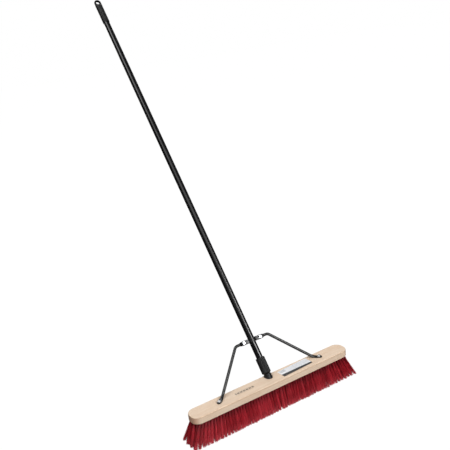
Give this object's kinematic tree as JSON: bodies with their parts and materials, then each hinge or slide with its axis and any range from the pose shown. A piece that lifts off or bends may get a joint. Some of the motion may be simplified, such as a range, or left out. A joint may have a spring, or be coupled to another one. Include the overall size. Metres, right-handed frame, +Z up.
{
  "type": "push broom",
  "caption": "Push broom with a wood block, flared red bristles, a slanted black steel handle that screws in, and a clamped two-armed steel brace.",
  "frame": {"origin": "centre of the sweeping face, at the tips of the middle bristle row", "axes": "+X along the block, +Y to the side that the handle leans to, +Z up"},
  "size_m": [0.646, 0.9692, 1.3304],
  "materials": {
    "block_wood": "sanded, clear sealed pale hardwood",
    "bristle_red": "extruded polypropylene filament",
    "black_steel": "semi-gloss black powder coat",
    "black_plastic": "satin moulded",
    "bright_zinc": "bright zinc plate",
    "label_paper": "coated paper sticker"
  },
  "bodies": {
    "head": {"wood_block": "block_wood", "bristle_row_1": "bristle_red", "bristle_row_2": "bristle_red", "bristle_row_3": "bristle_red", "bristle_row_4": "bristle_red", "bristle_row_5": "bristle_red", "bristle_row_6": "bristle_red", "bristle_row_7": "bristle_red", "clamp_strap_front": "black_steel", "clamp_strap_rear": "black_steel", "brace_arm_left": "black_steel", "brace_arm_right": "black_steel", "clamp_bolt_left": "bright_zinc", "clamp_bolt_right": "bright_zinc", "clamp_washer_left": "bright_zinc", "clamp_washer_right": "bright_zinc", "clamp_nut_left": "bright_zinc", "clamp_nut_right": "bright_zinc", "foot_washer_left": "bright_zinc", "foot_washer_right": "bright_zinc", "foot_screw_left": "bright_zinc", "foot_screw_right": "bright_zinc", "paper_label": "label_paper"},
    "collar": {"foot_collar": "black_plastic"},
    "handle": {"handle_tube": "black_steel", "ferrule": "black_plastic"},
    "hanger": {"hanger_cap": "black_plastic"}
  },
  "joints": [
    {"name": "handle_lift", "type": "slide", "parent": "head", "child": "collar", "axis": [0, 0.5948, 0.8039], "range_m": [0, 0.0204]},
    {"name": "handle_turn", "type": "hinge", "parent": "collar", "child": "handle", "pos_m": [0, 0.015, 0.099], "axis": [0, 0.5948, 0.8039], "range_deg": [0, 1440]},
    {"name": "hanger_swivel", "type": "hinge", "parent": "handle", "child": "hanger", "pos_m": [0, 0.88344, 1.27263], "axis": [0, 0.5948, 0.8039], "continuous": true}
  ],
  "couplings": [
    {"joint": "handle_lift", "follows": "handle_turn", "m_per_rad": 0.00080851}
  ]
}
